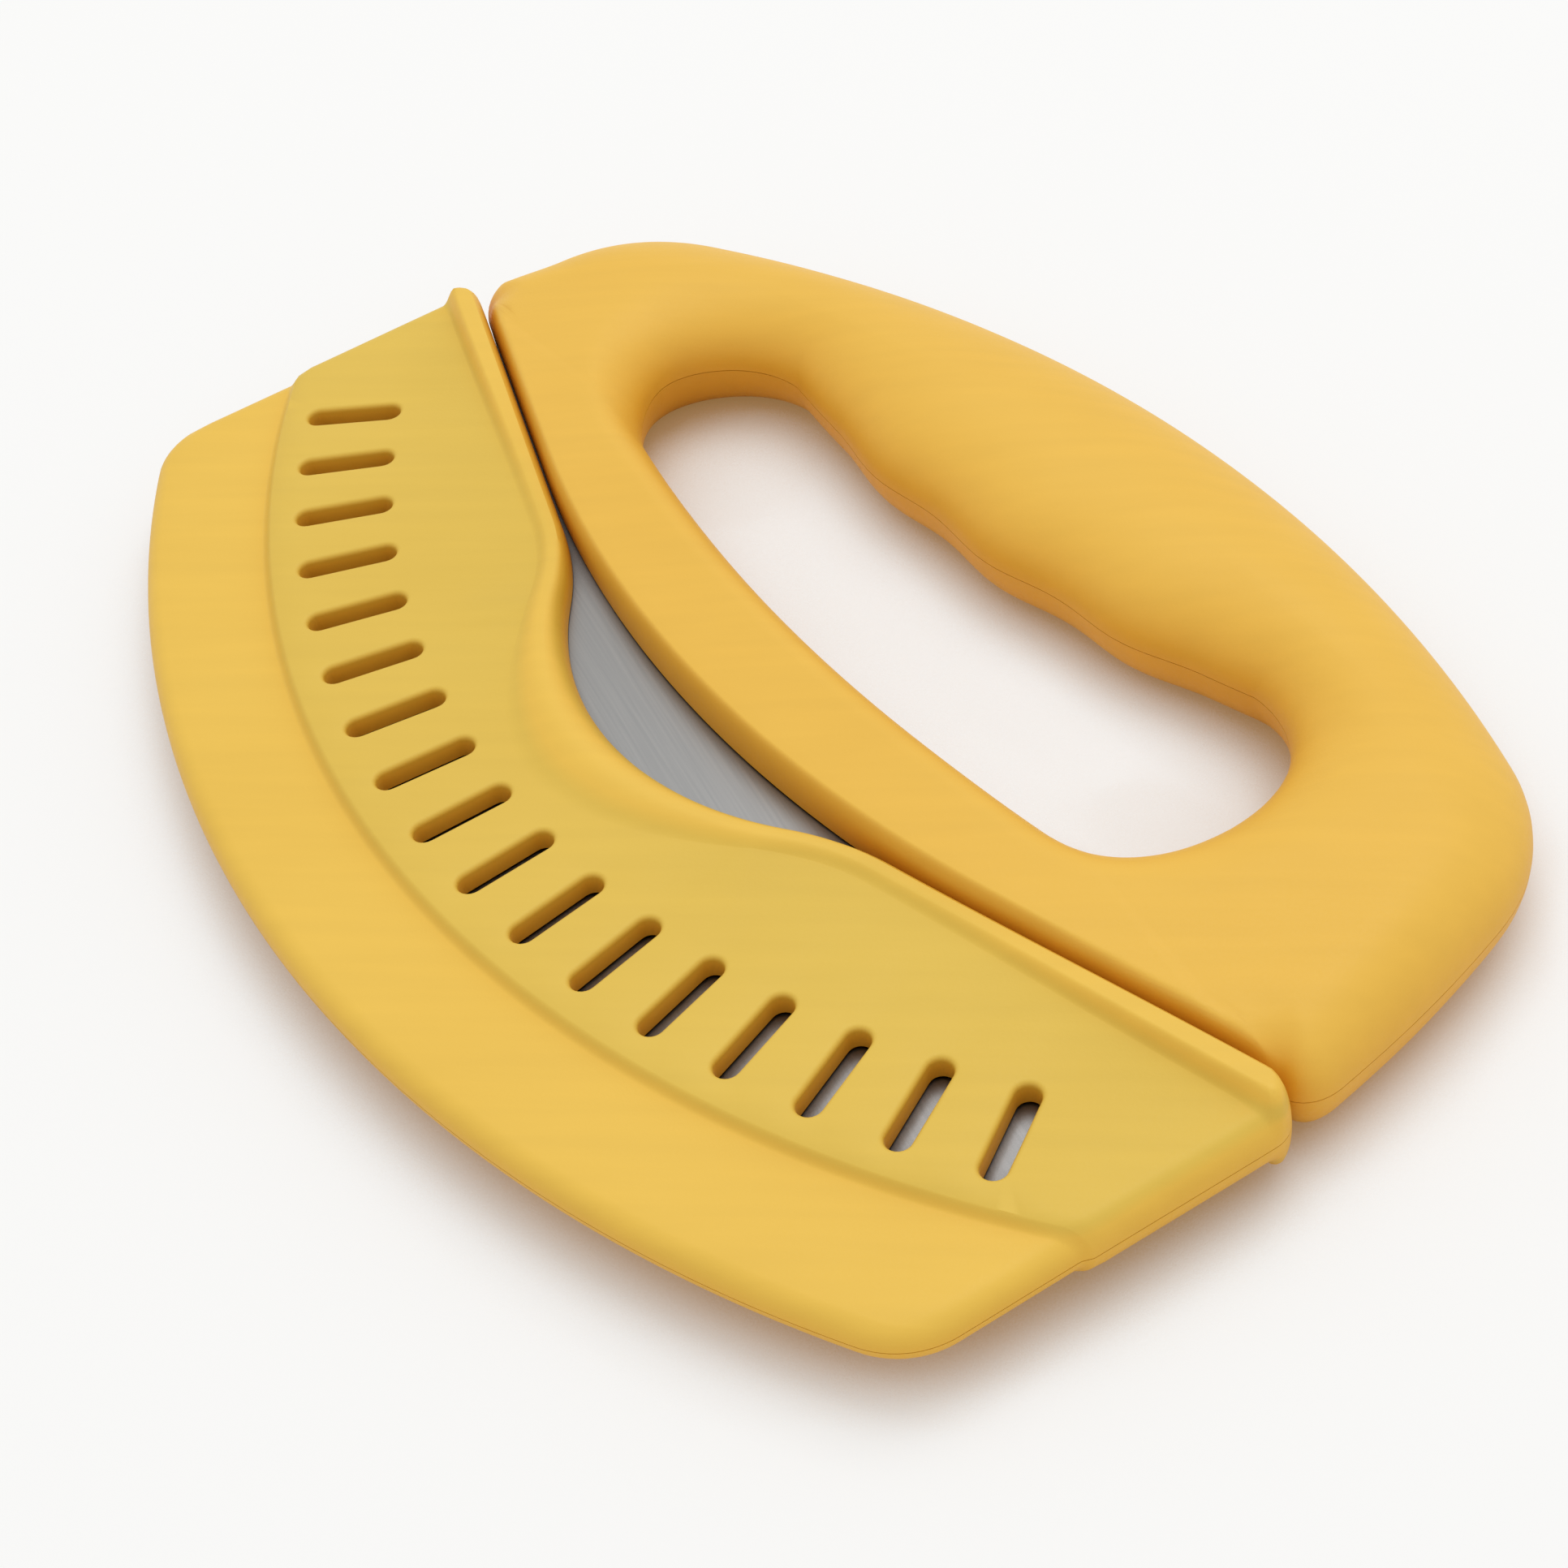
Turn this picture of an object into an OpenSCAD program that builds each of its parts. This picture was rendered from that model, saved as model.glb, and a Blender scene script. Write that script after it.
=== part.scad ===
// Rocking pizza cutter lying on the back of its handle, with its sheath on the blade.
// X runs along the cutting edge, Y from the sheath up to the grip, Z up through the thickness.

/* [Handle] */
// Width of the handle across its two lower corners
handle_w = 183; // [174:0.5:190]
// Height from the middle of the handle's lower edge to the top of the grip
handle_h = 74.7; // [70:0.1:82]
// Thickness of the two shells together
handle_t = 17; // [14:0.5:20]
// Radius of the grip's top edge
grip_top_r = 176; // [160:1:220]
// Radius of the shoulders at both ends of the grip
shoulder_r = 25.4; // [18:0.2:30]
// Radius of the lower corners, seen from above
foot_r = 4.5; // [3:0.5:8]
// Angle by which the ends draw in towards the grip, in degrees
side_angle = 11; // [7:0.5:14]
// Radius of the bowed middle of the lower edge
bow_r = 180; // [150:1:220]
// Angle at which the lower edge rises on both sides of the bow, in degrees
flare_angle = 16.2; // [12:0.1:18]
// Angle by which the grip is turned to suit the wrist, in degrees
grip_lean = 6.2; // [0:0.1:8]
// Height above the lower corners over which the grip's turn builds up
lean_rise = 24.4; // [18:0.2:30]

/* [Finger hole] */
// Length of the finger hole
hole_w = 114.7; // [106:0.1:120]
// Distance from the lower edge to the finger hole
limb_h = 15.7; // [14:0.1:20]
// Radius of the finger hole's lower side
hole_floor_r = 246; // [200:1:300]
// Radius of the finger hole's round ends
hole_end_r = 14.2; // [12:0.1:15.5]
// Height of the grip's arch over the fingers
grip_arch = 4.8; // [2:0.1:6]
// Depth of the finger grooves
groove_depth = 0.8; // [0.4:0.1:2]
// Distance from one finger groove to the next
finger_pitch = 22.8; // [20:0.1:26]
// Distance of the middle groove from the middle of the handle
groove_shift = 2; // [0:0.1:4]

/* [Handle rounding] */
// Width of the round-over along the outside of the grip
grip_round = 16; // [10:0.5:18]
// Width of the round-over on the finger side of the grip
palm_round = 16; // [10:0.5:18]
// Width of the round-over on the finger side of the lower limb
limb_round = 5; // [3:0.5:8]
// Width of the round-over along the lower edge
foot_round = 3; // [2:0.5:5]
// Width of the round-over at the handle's lower corners
corner_round = 12; // [8:0.5:16]

/* [Blade] */
// Thickness of the steel
blade_t = 1.2; // [0.8:0.1:1.6]
// Distance from the sheath's lower edge to the cutting edge
edge_inset = 5; // [4:0.5:8]
// Distance from the sheath's side to the end of the blade
blade_end_inset = 5.5; // [5:0.5:7]
// Width of the ground bevel
grind_w = 7; // [3:0.5:10]
// Thickness left at the cutting edge
edge_t = 0.3; // [0.1:0.05:0.5]
// Depth of the tang inside the handle's lower limb
tang_h = 10.5; // [8:0.5:12]
// Width of the tang's arm beside the finger hole
arm_w = 17; // [10:0.5:20]
// Height of the tang's arms above the handle's lower edge
arm_h = 43; // [32:0.5:46]

/* [Pegs] */
// Radius of the pegs that locate the tang
peg_r = 2.2; // [1.5:0.1:2.6]
// Height of the pegs above the parting plane
peg_h = 4; // [3:0.1:4.5]

/* [Sheath] */
// Distance by which each side of the sheath stands out past the handle
sheath_overhang = 1.1; // [0:0.1:4]
// Distance by which each side draws in below the step
sheath_taper = 0.6; // [0:0.1:2]
// Drop of the sheath's lowest point below the middle of the handle's lower edge
sheath_drop = 57.5; // [52:0.5:64]
// Radius of the sheath's lower edge
sheath_r = 171; // [150:1:200]
// Radius of the sheath's lower corners
sheath_corner_r = 10.5; // [9:0.1:18]
// Radius of the sheath's upper corners
sheath_ear_r = 4; // [3:0.5:7]
// Thickness of the band along the sheath's lower edge
band_t = 5.4; // [4.6:0.1:6]
// Thickness of the sheath's flat panel
panel_t = 7.8; // [6.8:0.1:8.6]
// Thickness over the rim along the sheath's mouth
rim_t = 9.6; // [8:0.1:12]
// Thickness over the bosses in which the rim ends
ear_t = 12; // [9:0.1:14]
// Width of the rim
rim_w = 4.2; // [3:0.1:6]
// Width of the round-over along the sheath's edges
sheath_round = 2.6; // [1.5:0.1:3.5]
// Height of the panel's lowest point above the sheath's lower edge
step_rise = 15; // [12:0.2:18]
// Radius of the step between the panel and the band
step_r = 149; // [135:0.5:165]
// Width of the step
step_w = 2.4; // [1.5:0.1:4]

/* [Notch] */
// Depth of the thumb notch below the middle of the handle's lower edge
notch_drop = 11.1; // [8:0.1:14]
// Radius of the bottom of the notch
notch_r = 45; // [35:0.5:60]
// Radius of the notch's shoulders
notch_shoulder_r = 40; // [25:0.5:55]
// Width of the hollow that leads up to the rim at the notch
swoop_w = 8; // [5:0.5:10]

/* [Slots] */
// Number of slots through the front cover
slot_count = 17; // [9:2:19]
// Width of one slot
slot_w = 3; // [2:0.1:4]
// Length of one slot
slot_l = 12.6; // [9:0.1:15]
// Distance from the step to the near end of the slots
slot_margin = 5; // [4:0.1:7]
// Angle between the first and the last slot, in degrees
slot_spread = 68; // [50:1:70]

/* [Fits] */
// Gap between the sheath's mouth and the handle
seat_gap = 0.6; // [0.3:0.05:1]
// Hairline between two shells that are joined
parting_gap = 0.1; // [0.05:0.01:0.2]
// Gap between the steel and each wall of the sheath
blade_gap = 0.3; // [0.2:0.05:0.5]
// Gap between the ends of the blade and the sheath
blade_end_gap = 0.8; // [0.4:0.1:1.2]
// Gap round the tang and the pegs inside the handle
tang_gap = 0.05; // [0.02:0.01:0.15]

/* [Hidden] */
$fn = 96;

// Overrun of a cut past the face that it opens
cut = 1;
// Facets round a wide edge
wide_fn = 360;

// Intervals along each stretch of the handle's half outline, shared by the finger hole
bow_steps = 10;
foot_steps = 4;
side_steps = 4;
shoulder_steps = 6;
grip_steps = 16;
half_steps = bow_steps + foot_steps + side_steps + shoulder_steps + grip_steps;
ring_steps = 2 * half_steps;
// Intervals of one round-over, and those in which the rows widen towards a lower corner
round_steps = 6;
blend_steps = 2;
// Intervals across the sheath's middle, round a corner and along half of the blade's edge
panel_steps = 16;
corner_steps = 8;
arc_steps = 40;

function unit(v) = v / norm(v);
function turn(p, a) = [p.x * cos(a) - p.y * sin(a), p.x * sin(a) + p.y * cos(a)];
function clamp(v, low, high) = max(low, min(high, v));
function ease(v) = let (s = clamp(v, 0, 1)) s * s * (3 - 2 * s);
function mix(a, b, s) = a + (b - a) * s;
function flip(p) = [-p.x, p.y];
function on_arc(c, r, a) = c + r * [cos(a), sin(a)];
function angle_of(v) = atan2(v.y, v.x);

// Share of the height at a share of a round-over's width: elliptic, and full a little before its end
full_share = 0.97;
function round_share(s) = let (d = 1 - clamp(s / full_share, 0, 1)) sqrt(1 - d * d);

// Lower edge of the handle: a bow in the middle and a straight rise on both sides
bow_half_w = bow_r * sin(flare_angle);
bow_rise = bow_r * (1 - cos(flare_angle));
function lower_edge(x) = abs(x) < bow_half_w
    ? bow_r - sqrt(bow_r * bow_r - x * x)
    : bow_rise + (abs(x) - bow_half_w) * tan(flare_angle);

// Width of the sheath over the ends of its mouth
sheath_w = handle_w + 2 * sheath_overhang;

// Corner between the lower edge and the end of the handle
foot_tip = [handle_w / 2, lower_edge(handle_w / 2)];
foot_back = [-cos(flare_angle), -sin(flare_angle)];
side_up = [-sin(side_angle), cos(side_angle)];
foot_half_angle = acos(foot_back * side_up) / 2;
foot_centre = foot_tip + unit(foot_back + side_up) * foot_r / sin(foot_half_angle);
foot_start_x = foot_centre.x + foot_r * sin(flare_angle);

// Shoulder between the end of the handle and the top of the grip
grip_centre = [0, handle_h - grip_top_r];
side_in = [-cos(side_angle), -sin(side_angle)];
shoulder_base = foot_tip + shoulder_r * side_in - grip_centre;
shoulder_along = shoulder_base * side_up;
shoulder_reach = pow(grip_top_r - shoulder_r, 2) - shoulder_base * shoulder_base;
shoulder_run = sqrt(shoulder_along * shoulder_along + shoulder_reach) - shoulder_along;
shoulder_centre = foot_tip + shoulder_r * side_in + shoulder_run * side_up;
shoulder_end = angle_of(shoulder_centre - grip_centre);

// Steps along the lower edge get shorter towards the corners
function bow_share(i) = sin(90 * i / bow_steps);

// Right half of the handle's outline, from the middle of its lower edge round to the top
handle_half = concat(
    [for (i = [0 : bow_steps - 1]) let (x = foot_start_x * bow_share(i)) [x, lower_edge(x)]],
    [for (i = [0 : foot_steps - 1])
        on_arc(foot_centre, foot_r, mix(flare_angle - 90, side_angle, i / foot_steps))],
    [for (i = [0 : side_steps - 1])
        mix(on_arc(foot_centre, foot_r, side_angle), on_arc(shoulder_centre, shoulder_r, side_angle),
            i / side_steps)],
    [for (i = [0 : shoulder_steps - 1])
        on_arc(shoulder_centre, shoulder_r, mix(side_angle, shoulder_end, i / shoulder_steps))],
    [for (i = [0 : grip_steps]) on_arc(grip_centre, grip_top_r, mix(shoulder_end, 90, i / grip_steps))]);

// Finger hole: a bowed floor, round ends and a grip with a groove for each of four fingers
floor_centre = [0, limb_h + hole_floor_r];
end_x = hole_w / 2 - hole_end_r;
end_centre = [end_x, floor_centre.y - sqrt(pow(hole_floor_r - hole_end_r, 2) - end_x * end_x)];
end_start = angle_of(end_centre - floor_centre);
floor_end_x = on_arc(end_centre, hole_end_r, end_start).x;
end_steps = foot_steps + side_steps + shoulder_steps;
groove_reach = 1.5 * finger_pitch;
function groove_crest(u) = abs(u) < groove_reach ? groove_depth * (1 + cos(360 * u / finger_pitch)) / 2 : 0;
function grip_under(x, side) = end_centre.y + hole_end_r - grip_arch * (1 - pow(x / end_x, 2))
    - groove_crest(x * side - groove_shift);
function hole_half(side) = concat(
    [for (i = [0 : bow_steps - 1])
        let (x = floor_end_x * bow_share(i))
        [x, floor_centre.y - sqrt(hole_floor_r * hole_floor_r - x * x)]],
    [for (i = [0 : end_steps - 1]) on_arc(end_centre, hole_end_r, mix(end_start, 90, i / end_steps))],
    [for (i = [0 : grip_steps]) let (x = end_x * (1 - i / grip_steps)) [x, grip_under(x, side)]]);

// The grip turns about the middle of the lower limb, which stays square to the blade
lean_pivot = [0, foot_tip.y];
function lean(p) = let (share = ease((p.y - lean_pivot.y) / lean_rise))
    lean_pivot + turn(p - lean_pivot, grip_lean * share);
function whole(right, left) = [for (i = [0 : ring_steps - 1])
    lean(i <= half_steps ? right[i] : flip(left[ring_steps - i]))];
handle_outline = whole(handle_half, handle_half);
hole_outline = whole(hole_half(1), hole_half(-1));

// Round-over widths along the ring, by place on the half outline
function half_place(i) = i <= half_steps ? i : ring_steps - i;
function outer_round(i) = mix(corner_round, grip_round,
    ease((half_place(i) - bow_steps - foot_steps) / (side_steps + shoulder_steps)));
function inner_round(i) = mix(limb_round, palm_round,
    ease((half_place(i) - bow_steps / 2) / (end_steps + bow_steps / 2)));

// Sine of the angle at which the line across the handle meets an outline
least_slope_share = 0.3;
function slant(outline, i, across) =
    let (way = unit(outline[(i + 1) % ring_steps] - outline[(i + ring_steps - 1) % ring_steps]))
    let (line = unit(across))
    max(abs(way.x * line.y - way.y * line.x), least_slope_share);
widest_round_share = 0.48;

half_t = handle_t / 2;
half_gap = parting_gap / 2;

// The two triangles of a four-sided patch, split along one of its diagonals
function halves(a, b, c, d, from_a) = from_a ? [[a, b, c], [a, c, d]] : [[a, b, d], [b, c, d]];

// Distance from a point to a row of points joined by straight pieces
function to_segment(p, a, b) = norm(p - a - (b - a) * clamp((p - a) * (b - a) / ((b - a) * (b - a)), 0, 1));
function to_line(p, line) = min([for (i = [1 : len(line) - 1]) to_segment(p, line[i - 1], line[i])]);
low_line = [for (i = [-bow_steps : bow_steps]) handle_outline[(i + ring_steps) % ring_steps]];
out_line = [for (i = [bow_steps : ring_steps - bow_steps]) handle_outline[i]];
hole_line = concat(hole_outline, [hole_outline[0]]);

// One point of the upper shell's skin: ring step i, row j from the outside to the finger hole.
// Each edge rounds the height down over its own width, so the corners get the product of two.
function skin_point(i, j) =
    let (outer = handle_outline[i])
    let (across = hole_outline[i] - outer)
    let (w = norm(across))
    let (outside = j <= round_steps)
    let (a = outside ? 90 * j / round_steps : 90 * (2 * round_steps + 1 - j) / round_steps)
    let (edge_round = mix(foot_round, outer_round(i),
        ease((half_place(i) - bow_steps + blend_steps) / (blend_steps + foot_steps))))
    let (square_r = outside ? edge_round / slant(handle_outline, i, across)
        : inner_round(i) / slant(hole_outline, i, across))
    let (r = min(square_r, widest_round_share * w))
    let (s = outside ? r * (1 - cos(a)) : w - r * (1 - cos(a)))
    let (p = outer + across * s / w)
    let (share = j == 0 || j == skin_rows - 1 ? 0
        : round_share(to_line(p, low_line) / foot_round)
            * round_share(to_line(p, out_line) / outer_round(i))
            * round_share(to_line(p, hole_line) / inner_round(i)))
    [p.x, p.y, half_gap + (half_t - half_gap) * share];
skin_rows = 2 * round_steps + 2;
skin_points = [for (i = [0 : ring_steps - 1]) for (j = [0 : skin_rows - 1]) skin_point(i, j)];
function skin_index(i, j) = (i % ring_steps) * skin_rows + (j % skin_rows);
skin_faces = [for (i = [0 : ring_steps - 1]) for (j = [0 : skin_rows - 1]) each
    halves(skin_index(i, j), skin_index(i, j + 1), skin_index(i + 1, j + 1), skin_index(i + 1, j), true)];

module upper_shell_form() {
    polyhedron(points = skin_points, faces = skin_faces);
}

// Frame of the whole part: the middle of its box in X and Y, and the handle's flat back in Z
handle_top_y = max([for (p = handle_outline) p.y]);
middle_y = (handle_top_y - sheath_drop) / 2;
module place() {
    translate([0, -middle_y, half_t]) children();
}

// Lower edges of the sheath and the blade share one centre
edge_centre = [0, sheath_r - sheath_drop];
blade_r = sheath_r - edge_inset;
blade_half_w = sheath_w / 2 - blade_end_inset;
blade_corner_r = max(sheath_corner_r - max(edge_inset, blade_end_inset), edge_inset);
tang_half_w = min(handle_w / 2 - foot_r - grip_round / 3, blade_half_w);

// Right half of a plate with an arc below, a rounded corner and a straight end
function arc_plate_half(r, half_w, corner_r, top) =
    let (corner_x = half_w - corner_r)
    let (corner = [corner_x, edge_centre.y - sqrt(pow(r - corner_r, 2) - corner_x * corner_x)])
    let (touch = angle_of(corner - edge_centre))
    concat(
        [for (i = [0 : arc_steps - 1]) on_arc(edge_centre, r, mix(-90, touch, i / arc_steps))],
        [for (i = [0 : corner_steps]) on_arc(corner, corner_r, mix(touch, 0, i / corner_steps))],
        [[half_w, top]]);
module arc_plate(r, half_w, corner_r, top) {
    half = arc_plate_half(r, half_w, corner_r, top);
    polygon(concat(half, [for (i = [len(half) - 1 : -1 : 1]) flip(half[i])]));
}

// Everything below the handle's lower edge, dropped by a gap
module below_handle(gap) {
    reach = sheath_w;
    far = 2 * sheath_drop;
    polygon(concat(
        [[reach, -far], [reach, lower_edge(reach) - gap]],
        [for (i = [bow_steps : -1 : -bow_steps])
            let (x = bow_half_w * i / bow_steps) [x, lower_edge(x) - gap]],
        [[-reach, lower_edge(reach) - gap], [-reach, -far]]));
}

// Tang: a strip inside the lower limb and an arm on both sides of the finger hole
module tang_plan(gap) {
    inner_x = tang_half_w - arm_w;
    half = [[0, tang_h], [bow_half_w, lower_edge(bow_half_w) + tang_h],
        [inner_x, lower_edge(inner_x) + tang_h], [inner_x + arm_taper, arm_h],
        [tang_half_w - arm_taper, arm_h], [tang_half_w, lower_edge(tang_half_w)],
        [tang_half_w, -tang_h]];
    offset(delta = gap) polygon(concat(
        [for (i = [len(half) - 1 : -1 : 0]) half[i]],
        [for (i = [1 : len(half) - 1]) flip(half[i])]));
}
arm_taper = arm_w / 6;

// Pegs: two in the strip and one in the arm, on each side
peg_low_shares = [0.28, 0.68];
arm_peg_share = 0.8;
peg_places = concat(
    [for (share = peg_low_shares) let (x = tang_half_w * share) [x, lower_edge(x) + tang_h / 2]],
    [[tang_half_w - arm_w / 2, arm_h * arm_peg_share]]);
module at_pegs() {
    for (p = peg_places) {
        translate(p) children();
        translate(flip(p)) children();
    }
}

module blade_plan() {
    intersection() {
        arc_plate(blade_r, blade_half_w, blade_corner_r, handle_h);
        union() {
            below_handle(seat_gap);
            tang_plan(0);
        }
    }
}

// Bevel ground on one face: what is left thins towards the cutting edge
module grind() {
    rise = (blade_t - edge_t) / 2;
    translate([edge_centre.x, edge_centre.y, blade_t / 2])
        rotate_extrude($fn = wide_fn)
            polygon([[blade_r - grind_w, 0], [blade_r + cut, -rise * (1 + cut / grind_w)],
                [blade_r + cut, cut], [blade_r - grind_w, cut]]);
}

module blade() {
    color("silver") place() difference() {
        translate([0, 0, -blade_t / 2]) linear_extrude(blade_t) blade_plan();
        grind();
        mirror([0, 0, 1]) grind();
        translate([0, 0, -blade_t]) at_pegs() cylinder(r = peg_r + tang_gap, h = 2 * blade_t);
    }
}

// Pocket for the tang, sunk into the parting face of either shell
pocket_depth = blade_t / 2 + tang_gap;
module tang_pocket() {
    translate([0, 0, -cut]) linear_extrude(pocket_depth + cut) tang_plan(tang_gap);
}

module handle_front_shell() {
    color("goldenrod") place() difference() {
        upper_shell_form();
        tang_pocket();
        at_pegs() cylinder(r = peg_r + tang_gap, h = peg_h + tang_gap);
    }
}

module handle_back_shell() {
    color("darkgoldenrod") place() union() {
        difference() {
            mirror([0, 0, 1]) upper_shell_form();
            mirror([0, 0, 1]) tang_pocket();
        }
        translate([0, 0, -pocket_depth - parting_gap])
            at_pegs() cylinder(r = peg_r, h = pocket_depth + parting_gap + peg_h);
    }
}

// Mouth of the sheath: the handle's edge less the seat gap, with the thumb notch
mouth_point = [bow_half_w, bow_rise - seat_gap];
mouth_along = [cos(flare_angle), sin(flare_angle)];
mouth_out = [-sin(flare_angle), cos(flare_angle)];
notch_centre = [0, notch_r - notch_drop];
crown_base = mouth_point - notch_shoulder_r * mouth_out - notch_centre;
crown_b = crown_base * mouth_along;
crown_c = crown_base * crown_base - pow(notch_r + notch_shoulder_r, 2);
crown_run = sqrt(crown_b * crown_b - crown_c) - crown_b;
crown_centre = mouth_point - notch_shoulder_r * mouth_out + crown_run * mouth_along;
crown_end_x = crown_centre.x + notch_shoulder_r * mouth_out.x;
crown_start_x = mix(0, crown_centre.x, notch_r / (notch_r + notch_shoulder_r));
function mouth_line(x) = mouth_point.y + (x - mouth_point.x) * tan(flare_angle);

// Corners of the sheath
half_w = sheath_w / 2;
corner_x = half_w - sheath_corner_r;
corner_centre = [corner_x, edge_centre.y - sqrt(pow(sheath_r - sheath_corner_r, 2) - corner_x * corner_x)];
corner_touch_x = on_arc(corner_centre, sheath_corner_r, angle_of(corner_centre - edge_centre)).x;
ear_centre = [half_w - sheath_ear_r, mouth_line(half_w - sheath_ear_r) - sheath_ear_r / cos(flare_angle)];
ear_start_x = ear_centre.x + sheath_ear_r * mouth_out.x;

// Height of a circle's lower or upper side at x
function circle_y(c, r, x, side) = c.y + side * sqrt(max(0, r * r - pow(x - c.x, 2)));
function sheath_low(x) = let (u = abs(x))
    u < corner_touch_x ? circle_y(edge_centre, sheath_r, u, -1) : circle_y(corner_centre, sheath_corner_r, u, -1);
function sheath_high(x) = let (u = abs(x))
    u < crown_start_x ? circle_y(notch_centre, notch_r, u, -1) :
    u < crown_end_x ? circle_y(crown_centre, notch_shoulder_r, u, 1) :
    u < ear_start_x ? mouth_line(u) : circle_y(ear_centre, sheath_ear_r, u, 1);
step_centre = [0, step_r + step_rise - sheath_drop];
function step_y(x) = circle_y(step_centre, step_r, x, -1);

// Distances from a point inside the sheath's outline to its edges
function to_mouth(p) =
    p.x < crown_start_x ? norm(p - notch_centre) - notch_r :
    p.x < crown_end_x ? notch_shoulder_r - norm(p - crown_centre) :
    (mouth_point - p) * mouth_out;
function beyond(a, b) = a.x * b.y - a.y * b.x > 0;
function to_edge(p) =
    let (corner = p - corner_centre, ear = p - ear_centre)
    corner.y < 0 && beyond(corner_centre - edge_centre, corner) ? sheath_corner_r - norm(corner) :
    ear.y > 0 && beyond(ear, mouth_out) ? sheath_ear_r - norm(ear) :
    min(half_w - p.x, sheath_r - norm(p - edge_centre), to_mouth(p));

// The sides draw in below the step, most of it at the step itself
side_step_y = step_y(half_w);
proud_share = 0.8;
function narrow(x, y) =
    let (rise = y - side_step_y)
    let (share = 1 - proud_share * ease(rise / step_w)
        - (1 - proud_share) * ease(rise / (ear_centre.y - side_step_y)))
    x * (1 - sheath_taper / half_w * share);

// Half thickness of the sheath at a point: band, panel and rim, rounded down to the outline
function swoop(x) = rim_w / 2 + swoop_w * (1 - ease(abs(x) / crown_end_x));
function rim_at(x) = mix(rim_t, ear_t, ease((abs(x) - crown_end_x) / (ear_centre.x - crown_end_x)));
function cover_height(p) =
    let (q = [abs(p.x), p.y])
    let (panel = ease((step_r - norm(q - step_centre)) / step_w))
    let (rim = 1 - ease((to_mouth(q) - rim_w / 2) / swoop(q.x)))
    let (full = mix(mix(band_t, panel_t, panel), rim_at(p.x), rim * panel) / 2)
    half_gap + (full - half_gap) * round_share(to_edge(q) / sheath_round);

// Rows of the cover's skin at x, from the lower edge up to the mouth
edge_row_shares = [0, 0.08, 0.32, 0.68, 1];
step_row_shares = [0, 0.33, 0.67, 1];
rim_row_shares = [1, 0.75, 0.5, 0.25, 0];
function cover_rows(x) =
    let (low = sheath_low(x), high = sheath_high(x), step = step_y(x))
    let (rim_low = high - rim_w / 2 - swoop(x))
    concat(
        [for (s = edge_row_shares) low + s * sheath_round],
        [mix(low + sheath_round, step, 0.5)],
        [for (s = step_row_shares) step + s * step_w],
        [for (s = [1/3, 2/3]) mix(step + step_w, rim_low, s)],
        [for (s = rim_row_shares) high - sheath_round - s * (rim_w / 2 + swoop(x) - sheath_round)],
        [for (i = [1 : len(edge_row_shares) - 1])
            high - sheath_round * edge_row_shares[len(edge_row_shares) - 1 - i]]);
half_columns = concat(
    [for (i = [0 : panel_steps - 1]) corner_x * i / panel_steps],
    [for (i = [0 : corner_steps]) corner_x + sheath_corner_r * sin(90 * i / corner_steps)]);
columns = concat([for (i = [len(half_columns) - 1 : -1 : 1]) -half_columns[i]], half_columns);
column_count = len(columns);
row_count = len(cover_rows(0));
top_row = row_count - 1;
end_column = column_count - 1;
cover_points = [for (x = columns) let (rows = cover_rows(x)) for (j = [0 : row_count - 1])
    let (border = abs(x) == half_w || j == 0 || j == row_count - 1)
    [narrow(x, rows[j]), rows[j], border ? half_gap : cover_height([x, rows[j]])]];
function cover_index(i, j) = i * row_count + j;
cover_faces = concat(
    [for (i = [0 : end_column - 1]) for (j = [0 : top_row - 1]) each
        halves(cover_index(i, j), cover_index(i, j + 1), cover_index(i + 1, j + 1), cover_index(i + 1, j),
            (i < end_column / 2) == (j < top_row / 2))],
    [for (i = [1 : end_column - 2]) each
        halves(cover_index(i, 0), cover_index(i + 1, 0), cover_index(i + 1, top_row), cover_index(i, top_row),
            true)],
    [for (j = [0 : top_row - 1]) each [
        [cover_index(end_column - 1, 0), cover_index(end_column, j), cover_index(end_column, j + 1)],
        [cover_index(1, 0), cover_index(0, j + 1), cover_index(0, j)]]],
    [[cover_index(end_column - 1, 0), cover_index(end_column, top_row), cover_index(end_column - 1, top_row)],
        [cover_index(1, 0), cover_index(1, top_row), cover_index(0, top_row)]]);

module cover_form() {
    polyhedron(points = cover_points, faces = cover_faces);
}

// Room for the blade, open at the mouth
module blade_pocket() {
    depth = blade_t / 2 + blade_gap;
    translate([0, 0, -cut]) linear_extrude(depth + cut)
        arc_plate(blade_r + blade_end_gap, blade_half_w + blade_end_gap,
            blade_corner_r + blade_end_gap, handle_h);
}

// Round-ended slots in a row along the step, through which the steel shows
module slots() {
    ring_r = step_r - slot_margin - slot_l / 2;
    run = slot_l - slot_w;
    for (i = [0 : slot_count - 1])
        translate(step_centre) rotate(slot_spread * (i / (slot_count - 1) - 0.5))
            translate([0, -ring_r]) linear_extrude(rim_t) {
                translate([-slot_w / 2, -run / 2]) square([slot_w, run]);
                for (end = [-1, 1]) translate([0, end * run / 2]) circle(r = slot_w / 2);
            }
}

module sheath_front_cover() {
    color("gold") place() difference() {
        cover_form();
        blade_pocket();
        slots();
    }
}

module sheath_back_cover() {
    color("khaki") place() mirror([0, 0, 1]) difference() {
        cover_form();
        blade_pocket();
    }
}

blade();
handle_front_shell();
handle_back_shell();
sheath_front_cover();
sheath_back_cover();
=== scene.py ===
"""Rocking pizza cutter with its sheath on the blade, lying on the back of its handle.

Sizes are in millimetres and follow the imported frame. They turn into metres when a mesh is made. Only the
sizes of the materials and of the stage are in metres.
"""

import math

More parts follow.
